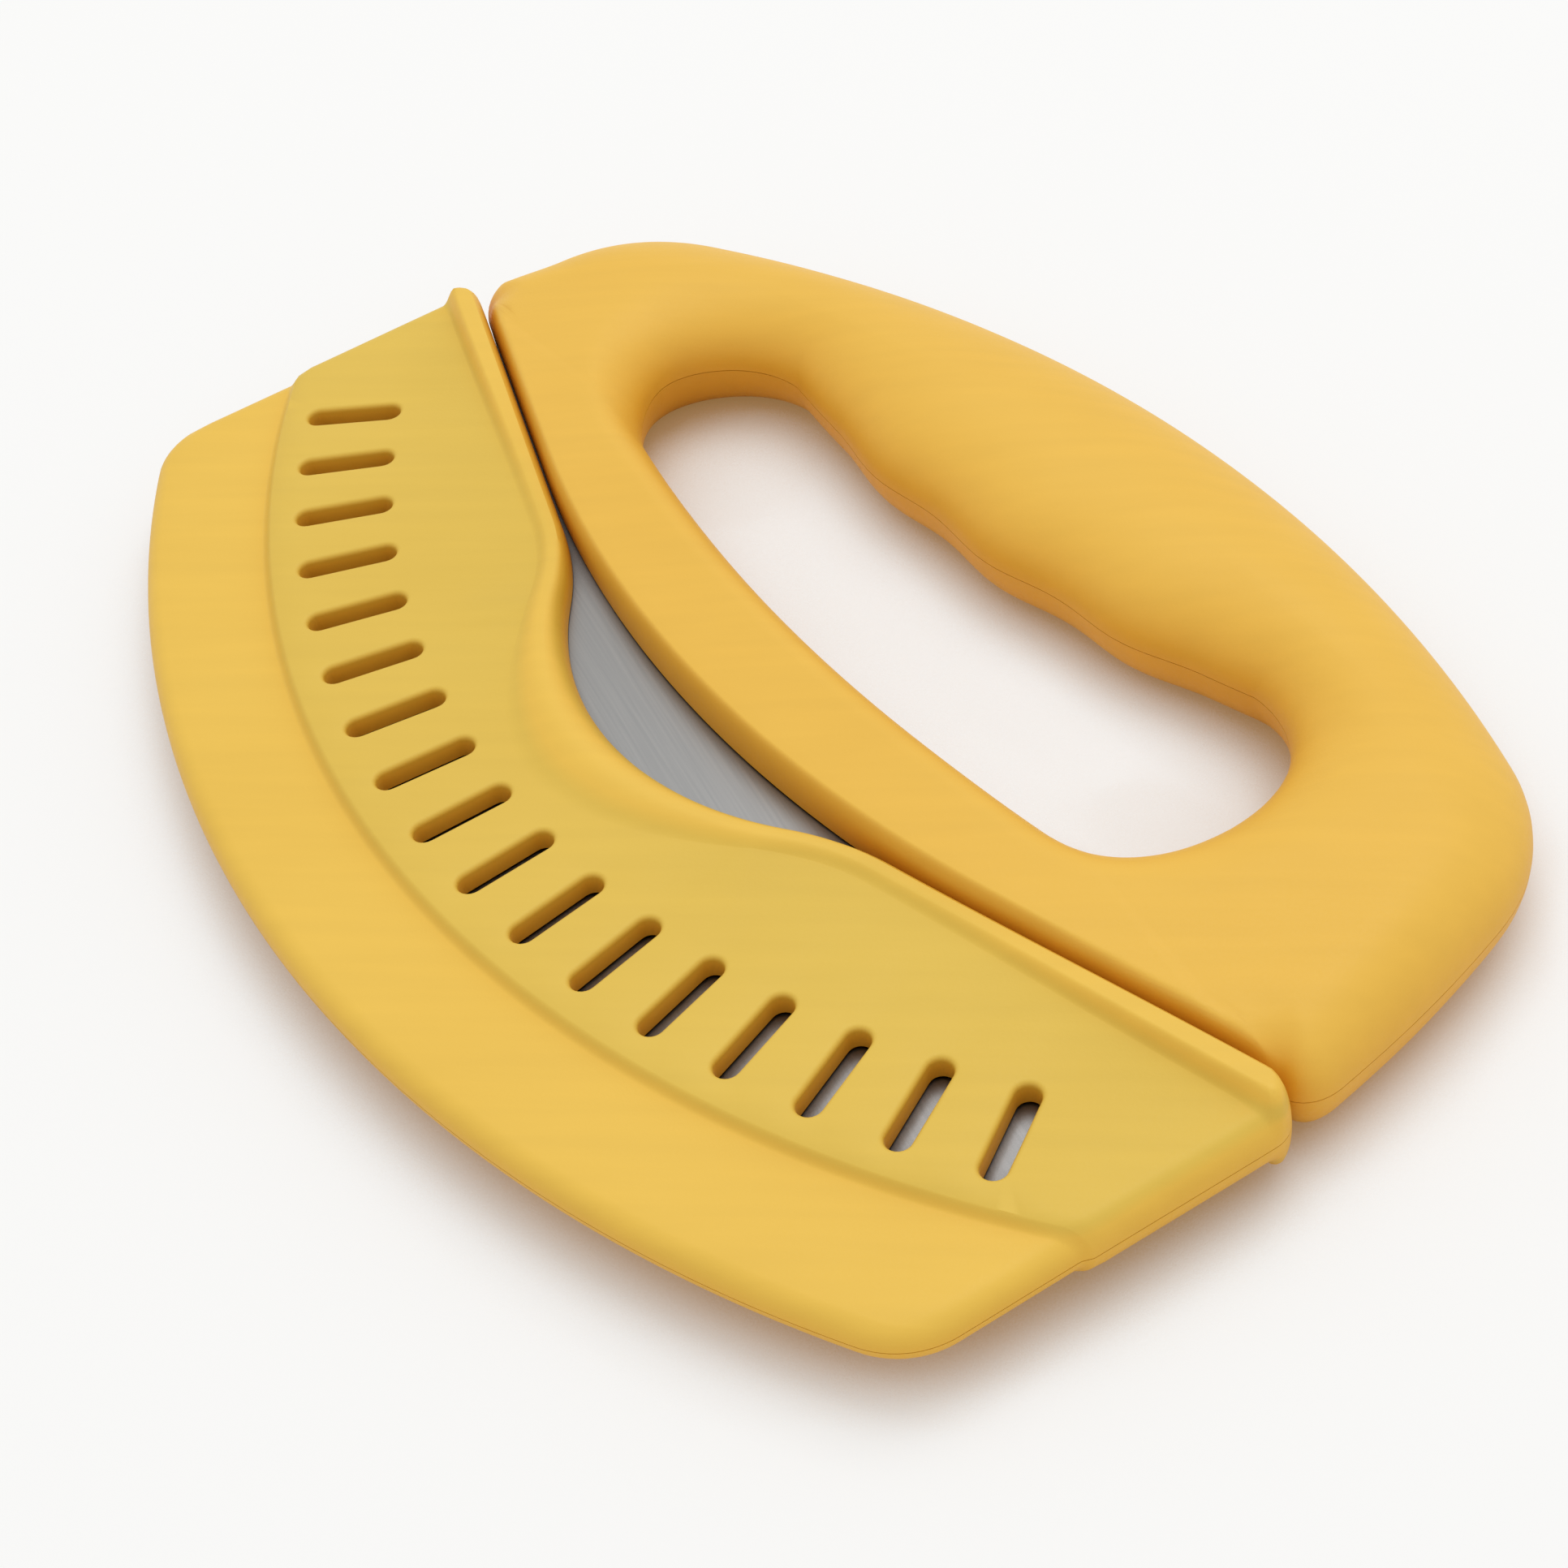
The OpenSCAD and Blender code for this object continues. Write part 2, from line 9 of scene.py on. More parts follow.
import bmesh
import bpy
import numpy as np
from mathutils import Matrix, Vector
from mathutils.geometry import delaunay_2d_cdt


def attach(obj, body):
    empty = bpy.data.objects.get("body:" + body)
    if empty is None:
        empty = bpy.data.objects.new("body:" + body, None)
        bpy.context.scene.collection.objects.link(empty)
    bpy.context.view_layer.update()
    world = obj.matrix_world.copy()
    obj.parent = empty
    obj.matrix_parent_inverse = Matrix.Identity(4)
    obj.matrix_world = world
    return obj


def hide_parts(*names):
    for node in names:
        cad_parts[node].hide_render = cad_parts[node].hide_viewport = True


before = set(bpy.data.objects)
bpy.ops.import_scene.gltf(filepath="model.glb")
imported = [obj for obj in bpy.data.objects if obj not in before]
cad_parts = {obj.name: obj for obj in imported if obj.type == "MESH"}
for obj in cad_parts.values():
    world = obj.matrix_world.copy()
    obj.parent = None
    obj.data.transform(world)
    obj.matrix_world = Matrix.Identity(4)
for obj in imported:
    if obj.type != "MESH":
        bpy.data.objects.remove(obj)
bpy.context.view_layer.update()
MM = 0.001

# Handle
handle_w = 183.0
handle_h = 74.7
handle_t = 17.0
grip_top_r = 176.0
shoulder_r = 25.4
foot_r = 4.5
side_angle = math.radians(11)
bow_r = 180.0
flare_angle = math.radians(16.2)
grip_lean = math.radians(6.2)
lean_rise = 24.4

# Finger hole
hole_w = 114.7
limb_h = 15.7
hole_floor_r = 246.0
hole_end_r = 14.2
grip_arch = 4.8
groove_depth = 1.1
ridge_count = 3
finger_pitch = 22.8
groove_shift = 2.0

# Handle rounding
grip_round = 16.0
palm_round = 16.0
palm_back_round = 8.0
limb_round = 5.0
foot_round = 1.4
corner_round = 8.0
widest_round_share = 0.48
full_share = 0.97
low_share = 0.7
low_reach = 26.0
lip_gap = 0.3

# Blade and its pocket
blade_t = 1.2
edge_inset = 5.0
blade_end_inset = 5.5
blade_gap = 0.3
blade_end_gap = 0.8

# Sheath
sheath_overhang = 1.1
sheath_w = handle_w + 2 * sheath_overhang
sheath_taper = 0.6
proud_share = 0.8
sheath_drop = 57.5
sheath_r = 171.0
sheath_corner_r = 10.5
sheath_ear_r = 4.0
band_t = 5.4
panel_t = 7.8
rim_t = 9.6
notch_rim_t = 11.6
ear_t = 12.0
rim_w = 4.2
ear_widening = 1.0
sheath_round = 2.6
mouth_round = 1.2
notch_round = 4.4
step_rise = 15.0
step_r = 149.0
step_w = 1.7
seat_gap = 0.3
parting_gap = 0.1

# Notch
notch_drop = 11.1
notch_r = 45.0
notch_shoulder_r = 40.0
swoop_w = 4.5

# Slots
slot_count = 17
slot_w = 3.0
slot_l = 12.6
slot_margin = 5.0
slot_spread = math.radians(68)
slot_edge_r = 0.7

# Camera, aimed from the middle of the handle's lower edge on the blade's plane
view_turn = math.radians(65.404)
view_height = math.radians(44.469)
view_roll = math.radians(-10.439)
view_distance = 357.22
view_side = 10.533
view_rise = -8.140
lens_per_width = math.exp(0.645)
sensor_w = 36.0
clip_start = 10.0

# Meshes
sharp_angle = math.radians(35)
least_slope_share = 0.3
weld_reach = 1e-7
INSIDE_ONLY = 1


def ease(v):
    """Smooth step from 0 to 1."""
    s = min(max(v, 0.0), 1.0)
    return s * s * (3 - 2 * s)


def mix(a, b, s):
    return a + (b - a) * s


def round_steps(count):
    """Shares of a round-over's width, closest together at its edge."""
    return [1 - math.cos(math.pi / 2 * i / count) for i in range(count + 1)]


def vec(x, y):
    return np.array((x, y), float)


def flip(p):
    return vec(-p[0], p[1])


def unit(v):
    return v / np.linalg.norm(v)


def turn(p, a):
    return vec(p[0] * math.cos(a) - p[1] * math.sin(a), p[0] * math.sin(a) + p[1] * math.cos(a))


def on_arc(centre, r, a):
    return centre + r * vec(math.cos(a), math.sin(a))


def sweep(centre, r, start, end, count):
    """Points at even steps along an arc, without the one at its end."""
    return [on_arc(centre, r, mix(start, end, i / count)) for i in range(count)]


def angle_of(v):
    return math.atan2(v[1], v[0])


def circle_y(centre, r, x, side):
    """Height of a circle's lower (-1) or upper (1) side at x."""
    return centre[1] + side * math.sqrt(max(0.0, r * r - (x - centre[0]) ** 2))


# The handle's lower edge and its corners
bow_half_w = bow_r * math.sin(flare_angle)
bow_rise = bow_r * (1 - math.cos(flare_angle))


def lower_edge(x):
    if abs(x) < bow_half_w:
        return bow_r - math.sqrt(bow_r * bow_r - x * x)
    return bow_rise + (abs(x) - bow_half_w) * math.tan(flare_angle)


foot_tip = vec(handle_w / 2, lower_edge(handle_w / 2))
foot_back = vec(-math.cos(flare_angle), -math.sin(flare_angle))
side_up = vec(-math.sin(side_angle), math.cos(side_angle))
side_in = vec(-math.cos(side_angle), -math.sin(side_angle))
foot_half_angle = math.acos(foot_back @ side_up) / 2
lean_from_y = foot_tip[1]
foot_centre = foot_tip + unit(foot_back + side_up) * foot_r / math.sin(foot_half_angle)
foot_start_x = foot_centre[0] + foot_r * math.sin(flare_angle)

# The shoulder's arc touches the side and the grip's top
grip_centre = vec(0, handle_h - grip_top_r)
shoulder_base = foot_tip + shoulder_r * side_in - grip_centre
shoulder_along = shoulder_base @ side_up
shoulder_reach = (grip_top_r - shoulder_r) ** 2 - shoulder_base @ shoulder_base
shoulder_run = math.sqrt(shoulder_along**2 + shoulder_reach) - shoulder_along
shoulder_centre = foot_tip + shoulder_r * side_in + shoulder_run * side_up
shoulder_end = angle_of(shoulder_centre - grip_centre)

# The finger hole's floor and its round ends
floor_centre = vec(0, limb_h + hole_floor_r)
end_x = hole_w / 2 - hole_end_r
end_centre = vec(end_x, circle_y(floor_centre, hole_floor_r - hole_end_r, end_x, -1))
end_start = angle_of(end_centre - floor_centre)
floor_end_x = on_arc(end_centre, hole_end_r, end_start)[0]
groove_reach = ridge_count / 2 * finger_pitch

# Intervals along each stretch of the handle's half outline
BOW, FOOT, SIDE, SHOULDER, GRIP = 44, 10, 16, 26, 64
END = FOOT + SIDE + SHOULDER
HALF = BOW + END + GRIP
RING = 2 * HALF

# Intervals of a round-over and of the flat between two
ROUND = 14
PLATEAU = 6

# Intervals of the lower edge along which its round-over grows into the corner's
BLEND = 14


def handle_half():
    """Right half of the outline, from the middle of the lower edge round to the top of the grip."""
    bow_x = [foot_start_x * i / BOW for i in range(BOW)]
    side_a = on_arc(foot_centre, foot_r, side_angle)
    side_b = on_arc(shoulder_centre, shoulder_r, side_angle)
    points = [vec(x, lower_edge(x)) for x in bow_x]
    points += sweep(foot_centre, foot_r, flare_angle - math.pi / 2, side_angle, FOOT)
    points += [mix(side_a, side_b, i / SIDE) for i in range(SIDE)]
    points += sweep(shoulder_centre, shoulder_r, side_angle, shoulder_end, SHOULDER)
    points += sweep(grip_centre, grip_top_r, shoulder_end, math.pi / 2, GRIP)
    return points + [on_arc(grip_centre, grip_top_r, math.pi / 2)]


def grip_under(x, side):
    """Height of the grip's finger side, with a ridge between two fingers, on the right (1) or left (-1)."""
    u = x * side - groove_shift
    crest = 0.0
    if abs(u) < groove_reach:
        crest = groove_depth * (1 + math.cos(2 * math.pi * u / finger_pitch)) / 2
    return end_centre[1] + hole_end_r - grip_arch * (1 - (x / end_x) ** 2) - crest


def hole_half(side):
    """Half the finger hole's outline, from the middle of the limb round to the middle of the grip."""
    floor_x = [floor_end_x * i / BOW for i in range(BOW)]
    grip_x = [end_x * (1 - i / GRIP) for i in range(GRIP + 1)]
    points = [vec(x, circle_y(floor_centre, hole_floor_r, x, -1)) for x in floor_x]
    points += sweep(end_centre, hole_end_r, end_start, math.pi / 2, END)
    return points + [vec(x, grip_under(x, side)) for x in grip_x]


def lean(p):
    """The grip turns about the middle of the lower limb."""
    share = ease((p[1] - lean_from_y) / lean_rise)
    pivot = vec(0, lean_from_y)
    return pivot + turn(p - pivot, grip_lean * share)


def whole(right, left):
    """The closed outline of two halves, of which the left one is drawn as a right one."""
    return [lean(right[i] if i <= HALF else flip(left[RING - i])) for i in range(RING)]


handle_outline = whole(handle_half(), handle_half())
hole_outline = whole(hole_half(1), hole_half(-1))
middle_y = (max(p[1] for p in handle_outline) - sheath_drop) / 2
half_t = handle_t / 2
half_gap = parting_gap / 2


def place(x, y, z):
    """A point that is measured from the blade's plane, in metres in the part's frame."""
    return Vector((x, y - middle_y, z + half_t)) * MM


def add_object(name, data):
    item = bpy.data.objects.new(name, data)
    bpy.context.scene.collection.objects.link(item)
    return item


def mesh_object(name, points, faces, material, side):
    """A closed smooth-shaded mesh. side -1 mirrors it to the back of the blade's plane."""
    mesh = bpy.data.meshes.new(name)
    mesh.from_pydata([place(p[0], p[1], side * p[2]) for p in points], [], faces)
    shape = bmesh.new()
    shape.from_mesh(mesh)
    bmesh.ops.recalc_face_normals(shape, faces=shape.faces)
    for face in shape.faces:
        face.smooth = True
    for edge in shape.edges:
        edge.smooth = len(edge.link_faces) == 2 and edge.calc_face_angle() < sharp_angle
    shape.to_mesh(mesh)
    shape.free()
    mesh.materials.append(material)
    return add_object(name, mesh)


# Handle shells
tang_half_w = handle_w / 2 - foot_r - grip_round / 3
slot_half_t = blade_t / 2 + lip_gap


def half_place(i):
    """A point's place along its half of the outline."""
    return i if i <= HALF else RING - i


def outer_round(i):
    """Width of the round-over along the ends and the grip."""
    return mix(corner_round, grip_round, ease((half_place(i) - BOW - FOOT) / (SIDE + SHOULDER)))


def inner_round(i, front):
    """Width of the round-over along the finger hole, which is tighter on the back of the palm side."""
    palm = palm_round if front else palm_back_round
    return mix(limb_round, palm, ease((half_place(i) - BOW / 2) / (END + BOW / 2)))


def slant(outline, i, across):
    """Sine of the angle at which the line across the handle meets an outline."""
    way = unit(outline[(i + 1) % RING] - outline[i - 1])
    line = unit(across)
    return max(abs(way[0] * line[1] - way[1] * line[0]), least_slope_share)


low_line = np.array([handle_outline[i] for i in range(-BOW, BOW + 1)])
out_line = np.array([handle_outline[i] for i in range(BOW, RING - BOW + 1)])
hole_line = np.array(hole_outline + hole_outline[:1])


def to_line(p, line):
    """Distance from a point to a row of points joined by straight pieces."""
    start, way = line[:-1], np.diff(line, axis=0)
    share = np.clip(np.einsum("ij,ij->i", p - start, way) / np.einsum("ij,ij->i", way, way), 0, 1)
    return np.linalg.norm(p - start - way * share[:, None], axis=1).min()


def round_share(distance, width):
    """Share of the full height at a distance inside an edge with an elliptic round-over."""
    return math.sqrt(1 - (1 - min(distance / width / full_share, 1)) ** 2)


def edge_height(i):
    """Half the opening at a shell's outer edge: the blade's slot at the lower edge, else a hairline."""
    in_slot = half_place(i) <= BOW and abs(handle_outline[i][0]) < tang_half_w
    return slot_half_t if in_slot else half_gap


def taper(p):
    """Share of the full height to which the front face rises from the handle's lower edge."""
    return mix(low_share, 1, math.sin(math.pi / 2 * min(to_line(p, low_line) / low_reach, 1)))


def shell_rows(i, front):
    """Points from the outer edge, over the top and down to the finger hole."""
    outer = handle_outline[i]
    across = hole_outline[i] - outer
    w = np.linalg.norm(across)
    edge_round = mix(foot_round, outer_round(i), ease((half_place(i) - BOW + BLEND) / (BLEND + FOOT)))
    out_r = min(edge_round / slant(handle_outline, i, across), widest_round_share * w)
    in_r = min(inner_round(i, front) / slant(hole_outline, i, across), widest_round_share * w)
    low = edge_height(i)
    turns = round_steps(ROUND)
    runs = [out_r * t for t in turns]
    runs += [mix(out_r, w - in_r, j / PLATEAU) for j in range(1, PLATEAU)]
    runs += [w - in_r * t for t in reversed(turns)]
    rows = []
    for s in runs:
        p = outer + across * s / w
        share = round_share(to_line(p, low_line), foot_round)
        share *= round_share(to_line(p, out_line), outer_round(i))
        share *= round_share(to_line(p, hole_line), inner_round(i, front))
        if front:
            share *= taper(p)
        base = mix(low, half_gap, s / w)
        rows.append((*p, base + (half_t - base) * share))
    middle = outer + across * ((w - in_r - out_r) / 2 + out_r) / w
    return rows + [(*middle, half_gap), (*middle, low)]


def make_shell(name, side, material):
    """A handle shell, as a ring of closed rows. side is 1 for the front and -1 for the back."""
    rows = [shell_rows(i, side > 0) for i in range(RING)]
    count = len(rows[0])
    points = [p for row in rows for p in row]
    faces = []
    for i in range(RING):
        a, b = i * count, (i + 1) % RING * count
        for j in range(count):
            k = (j + 1) % count
            faces.append((a + j, a + k, b + k, b + j))
    return mesh_object(name, points, faces, material, side)


# The sheath's outline
edge_centre = vec(0, sheath_r - sheath_drop)
mouth_point = vec(bow_half_w, bow_rise - seat_gap)
mouth_along = vec(math.cos(flare_angle), math.sin(flare_angle))
mouth_out = vec(-math.sin(flare_angle), math.cos(flare_angle))
notch_centre = vec(0, notch_r - notch_drop)

# The crown's arc touches the notch and the straight mouth
crown_base = mouth_point - notch_shoulder_r * mouth_out - notch_centre
crown_b = crown_base @ mouth_along
crown_c = crown_base @ crown_base - (notch_r + notch_shoulder_r) ** 2
crown_run = math.sqrt(crown_b**2 - crown_c) - crown_b
crown_centre = mouth_point - notch_shoulder_r * mouth_out + crown_run * mouth_along
crown_end_x = crown_centre[0] + notch_shoulder_r * mouth_out[0]
crown_start_x = crown_centre[0] * notch_r / (notch_r + notch_shoulder_r)

# The sheath's corners, and the step
half_w = sheath_w / 2
corner_x = half_w - sheath_corner_r
corner_centre = vec(corner_x, circle_y(edge_centre, sheath_r - sheath_corner_r, corner_x, -1))
corner_touch_x = on_arc(corner_centre, sheath_corner_r, angle_of(corner_centre - edge_centre))[0]
step_centre = vec(0, step_r + step_rise - sheath_drop)


def mouth_line(x):
    """Height of the mouth's straight line in the right half."""
    return mouth_point[1] + (x - mouth_point[0]) * math.tan(flare_angle)


ear_x = half_w - sheath_ear_r
ear_centre = vec(ear_x, mouth_line(ear_x) - sheath_ear_r / math.cos(flare_angle))
ear_start_x = ear_x + sheath_ear_r * mouth_out[0]


def sheath_low(x):
    """Height of the sheath's curved edge."""
    u = abs(x)
    if u < corner_touch_x:
        return circle_y(edge_centre, sheath_r, u, -1)
    return circle_y(corner_centre, sheath_corner_r, u, -1)


def sheath_high(x):
    """Height of the sheath's mouth, with the notch in its middle."""
    u = abs(x)
    if u < crown_start_x:
        return circle_y(notch_centre, notch_r, u, -1)
    if u < crown_end_x:
        return circle_y(crown_centre, notch_shoulder_r, u, 1)
    if u < ear_start_x:
        return mouth_line(u)
    return circle_y(ear_centre, sheath_ear_r, u, 1)


def to_mouth(p):
    """Distance from a point in the right half to the mouth."""
    if p[0] < crown_start_x:
        return np.linalg.norm(p - notch_centre) - notch_r
    if p[0] < crown_end_x:
        return notch_shoulder_r - np.linalg.norm(p - crown_centre)
    return (mouth_point - p) @ mouth_out


def beyond(a, b):
    """Whether b lies anticlockwise of a."""
    return a[0] * b[1] - a[1] * b[0] > 0


def to_edge(p):
    """Distance from a point in the right half to the outline, scaled by how crisp the mouth's edge is."""
    corner = p - corner_centre
    ear = p - ear_centre
    if corner[1] < 0 and beyond(corner_centre - edge_centre, corner):
        return sheath_corner_r - np.linalg.norm(corner)
    tighter = sheath_round / mix(mouth_round, notch_round, at_notch(p[0]))
    if ear[1] > 0 and beyond(ear, mouth_out):
        tighter = mix(1, tighter, max(0.0, angle_of(ear) / angle_of(mouth_out)))
        return (sheath_ear_r - np.linalg.norm(ear)) * tighter
    return min(half_w - p[0], sheath_r - np.linalg.norm(p - edge_centre), to_mouth(p) * tighter)


side_step_y = circle_y(step_centre, step_r, half_w, -1)


def narrow(x, y):
    """The sheath's x, drawn in below the step and a little above it."""
    rise = y - side_step_y
    at_step = ease(rise / step_w)
    above = ease(rise / (ear_centre[1] - side_step_y))
    share = 1 - proud_share * at_step - (1 - proud_share) * above
    return x * (1 - sheath_taper / half_w * share)


def at_notch(x):
    """Share that is 1 in the middle of the notch and 0 along the straight mouth."""
    return 1 - ease(abs(x) / crown_end_x)


def at_ear(x):
    """Share that is 1 at the rim's ends and 0 where the notch ends."""
    return ease((abs(x) - crown_end_x) / (ear_x - crown_end_x))


def rim_at(x):
    """Thickness over the rim, which rises to a boss at both ends and to a roll along the notch."""
    return mix(mix(rim_t, ear_t, at_ear(x)), notch_rim_t, at_notch(x))


def rim_top(x):
    """Distance from the mouth to the panel's side of the rim's top."""
    return mix(rim_w / 2 + ear_widening * at_ear(x), notch_round, at_notch(x))


def swoop(x):
    """Width of the hollow between the rim's top and the panel."""
    return rim_w / 2 + swoop_w * at_notch(x)


pocket_half_t = blade_t / 2 + blade_gap
pocket_half_w = half_w - blade_end_inset + blade_end_gap


def mouth_low(x):
    """The mouth's lower lip is the pocket's roof as far as the pocket is wide."""
    return pocket_half_t if abs(x) <= pocket_half_w else half_gap


def cover_height(x, y):
    """Half the sheath's thickness over a point."""
    p = vec(abs(x), y)
    panel = ease((step_r - np.linalg.norm(p - step_centre)) / step_w)
    rim = 1 - ease((to_mouth(p) - rim_top(x)) / swoop(x))
    full = mix(mix(band_t, panel_t, panel), rim_at(x), rim * panel) / 2
    low = mouth_low(x) if to_mouth(p) < notch_round else half_gap
    share = min(max(to_edge(p) / sheath_round, 0.0), 1.0)
    return low + (full - low) * math.sqrt(1 - (1 - share) ** 2)


# Intervals of the sheath's rows and columns
PANEL_COLUMNS, CORNER_COLUMNS = 80, 20
EDGE_ROWS, BAND_ROWS, STEP_ROWS, PANEL_ROWS, RIM_ROWS = 8, 5, 8, 10, 20

# The rows between which the panel is flat
FLAT_LOW = EDGE_ROWS + BAND_ROWS + STEP_ROWS
FLAT_HIGH = FLAT_LOW + PANEL_ROWS

# Intervals of a slot's round end and edge, and of the pocket's curved edge and corner
SLOT_END, SLOT_EDGE = 12, 5
POCKET_EDGE, POCKET_CORNER = 60, 12


def cover_rows(x):
    """Heights of the skin's rows at x, from the curved edge to the mouth."""
    low, high = sheath_low(x), sheath_high(x)
    step = circle_y(step_centre, step_r, x, -1)
    rim_low = high - rim_top(x) - swoop(x)
    rows = [low + s * sheath_round for s in round_steps(EDGE_ROWS)]
    rows += [mix(low + sheath_round, step, i / BAND_ROWS) for i in range(1, BAND_ROWS)]
    rows += [step + step_w * i / STEP_ROWS for i in range(STEP_ROWS + 1)]
    rows += [mix(step + step_w, rim_low, i / PANEL_ROWS) for i in range(1, PANEL_ROWS)]
    rows += [mix(rim_low, high - sheath_round, i / RIM_ROWS) for i in range(RIM_ROWS + 1)]
    rows += [high - sheath_round * s for s in reversed(round_steps(EDGE_ROWS)[:-1])]
    return rows


def cover_columns():
    """The x of the skin's columns, one of which lies at each side of the pocket."""
    half = [corner_x * i / PANEL_COLUMNS for i in range(PANEL_COLUMNS)]
    turns = [math.sin(math.pi / 2 * i / CORNER_COLUMNS) for i in range(CORNER_COLUMNS + 1)]
    half += [corner_x + sheath_corner_r * turned for turned in turns]
    nearest = min(range(len(half)), key=lambda i: abs(half[i] - pocket_half_w))
    half[nearest] = pocket_half_w
    return [-x for x in reversed(half[1:])] + half


def slot_loop(angle, outset):
    """Outline of one round-ended slot, grown by outset."""
    r = slot_w / 2 + outset
    run = (slot_l - slot_w) / 2
    ring_r = step_r - slot_margin - slot_l / 2
    loop = []
    for end in (1, -1):
        for i in range(SLOT_END + 1):
            a = math.pi * i / SLOT_END if end > 0 else math.pi * (1 + i / SLOT_END)
            loop.append(vec(r * math.cos(a), end * run + r * math.sin(a) - ring_r))
    return [step_centre + turn(p, angle) for p in loop]


def slot_angles():
    return [slot_spread * (i / (slot_count - 1) - 0.5) for i in range(slot_count)]


def middle_of(points):
    return sum(points, Vector((0, 0))) / len(points)


def inside(point, loop):
    """Whether a point lies in a loop, by counting the edges to its right."""
    hit = False
    for i, a in enumerate(loop):
        b = loop[i - 1]
        if (a.y > point.y) != (b.y > point.y):
            if point.x < a.x + (b.x - a.x) * (point.y - a.y) / (b.y - a.y):
                hit = not hit
    return hit


class Shape:
    """Points and faces of a mesh in the making."""

    def __init__(self):
        self.points = []
        self.faces = []

    def add(self, x, y, z):
        self.points.append((float(x), float(y), float(z)))
        return len(self.points) - 1

    def loop(self, outline, z):
        return [self.add(p[0], p[1], z) for p in outline]

    def plan(self, loop):
        return [Vector(self.points[i][:2]) for i in loop]

    def bridge(self, a, b, closed=True):
        """Quads between two rows of points."""
        for i in range(len(a) if closed else len(a) - 1):
            k = (i + 1) % len(a)
            self.faces.append((a[i], a[k], b[k], b[i]))

    def fill(self, outer, holes):
        """Triangles inside a loop of points, less the holes."""
        indices = list(outer)
        edges = [(i, (i + 1) % len(outer)) for i in range(len(outer))]
        for hole in holes:
            start = len(indices)
            indices += hole
            edges += [(start + i, start + (i + 1) % len(hole)) for i in range(len(hole))]
        sides = [self.plan(hole) for hole in holes]
        centres = [middle_of(side) for side in sides]
        result = delaunay_2d_cdt(self.plan(indices), edges, [], INSIDE_ONLY, weld_reach)
        spots, _, triangles, sources, _, _ = result
        for triangle in triangles:
            middle = middle_of([spots[i] for i in triangle])
            near = [k for k, c in enumerate(centres) if (c - middle).length < slot_l]
            if any(inside(middle, sides[k]) for k in near):
                continue
            self.faces.append(tuple(indices[sources[i][0]] for i in triangle))


def pocket_outline():
    """The pocket's outline from its right end of the mouth, round the bottom, to the left."""
    r = sheath_r - edge_inset + blade_end_gap
    round_r = max(sheath_corner_r - max(edge_inset, blade_end_inset), edge_inset) + blade_end_gap
    x = pocket_half_w - round_r
    corner = vec(x, circle_y(edge_centre, r - round_r, x, -1))
    touch = angle_of(corner - edge_centre)
    half = sweep(edge_centre, r, -math.pi / 2, touch, POCKET_EDGE)
    half += sweep(corner, round_r, touch, 0, POCKET_CORNER)
    half.append(on_arc(corner, round_r, 0))
    return half[::-1] + [flip(p) for p in half[1:]]


def cover_skin(shape, columns):
    """Points of the skin, by column from left to right and by row from the curved edge to the mouth."""
    grid = []
    for x in columns:
        rows = cover_rows(x)
        column = []
        for j, y in enumerate(rows):
            if abs(x) == half_w or j == 0:
                z = half_gap
            elif j == len(rows) - 1:
                z = mouth_low(x)
            else:
                z = cover_height(x, y)
            column.append(shape.add(narrow(x, y), y, z))
        grid.append(column)
    return grid


def slot_walls(shape, angle):
    """A slot's rounded edge and its wall. Gives its outline on the panel and in the pocket's roof."""
    rows = []
    for k in range(SLOT_EDGE + 1):
        a = math.pi / 2 * k / SLOT_EDGE
        outline = slot_loop(angle, slot_edge_r * (1 - math.sin(a)))
        rows.append(shape.loop(outline, panel_t / 2 - slot_edge_r * (1 - math.cos(a))))
    rows.append(shape.loop(slot_loop(angle, 0), pocket_half_t))
    for a, b in zip(rows, rows[1:]):
        shape.bridge(a, b)
    return rows[0], rows[-1]


def slotted_panel(shape, grid, first, last):
    """The panel between two columns, with its slots. Gives the slots' outlines in the pocket's roof."""
    border = [grid[i][FLAT_LOW] for i in range(first, last + 1)]
    border += [grid[last][j] for j in range(FLAT_LOW + 1, FLAT_HIGH + 1)]
    border += [grid[i][FLAT_HIGH] for i in range(last - 1, first - 1, -1)]
    border += [grid[first][j] for j in range(FLAT_HIGH - 1, FLAT_LOW, -1)]
    slots = [slot_walls(shape, angle) for angle in slot_angles()]
    shape.fill(border, [on_panel for on_panel, in_roof in slots])
    return [in_roof for on_panel, in_roof in slots]


